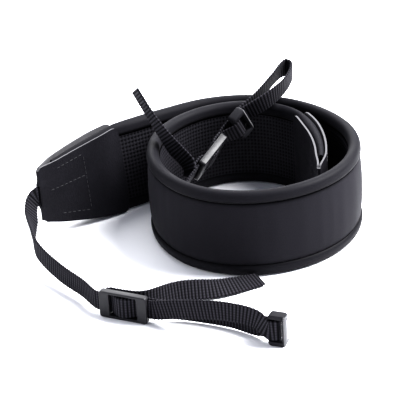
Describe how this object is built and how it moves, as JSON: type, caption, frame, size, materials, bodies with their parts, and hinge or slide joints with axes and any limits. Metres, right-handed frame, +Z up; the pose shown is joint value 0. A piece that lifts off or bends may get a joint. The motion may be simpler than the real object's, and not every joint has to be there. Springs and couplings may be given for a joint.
{
  "type": "camera neck strap",
  "caption": "Padded neoprene camera neck strap, bound along its edges, with leather tips and webbing ends threaded through plastic buckles and keepers, lying in a loose coil.",
  "frame": {"origin": "on the table, below the middle of the strap's box as it lies", "axes": "+Z up from the table, along the pad's height; +Y away from the viewer, along the longest extent; +X to the viewer's right"},
  "size_m": [0.167, 0.1846, 0.0726],
  "materials": {
    "neoprene": "smooth knit face, matte",
    "lining": "fine grid of grip bumps, matte",
    "binding": "stretched knit tape, soft sheen",
    "leather": "fine grain, satin",
    "webbing": "ribbed woven tape, matte",
    "plastic": "smooth moulded, semi-gloss"
  },
  "bodies": {
    "root": {"neck_pad": "neoprene", "grip_lining": "lining", "top_binding": "binding", "bottom_binding": "binding", "front_tip": "leather", "rear_tip": "leather", "front_webbing": "webbing", "rear_webbing": "webbing", "front_buckle": "plastic", "rear_buckle": "plastic", "front_keeper": "plastic", "rear_keeper": "plastic"}
  },
  "joints": []
}
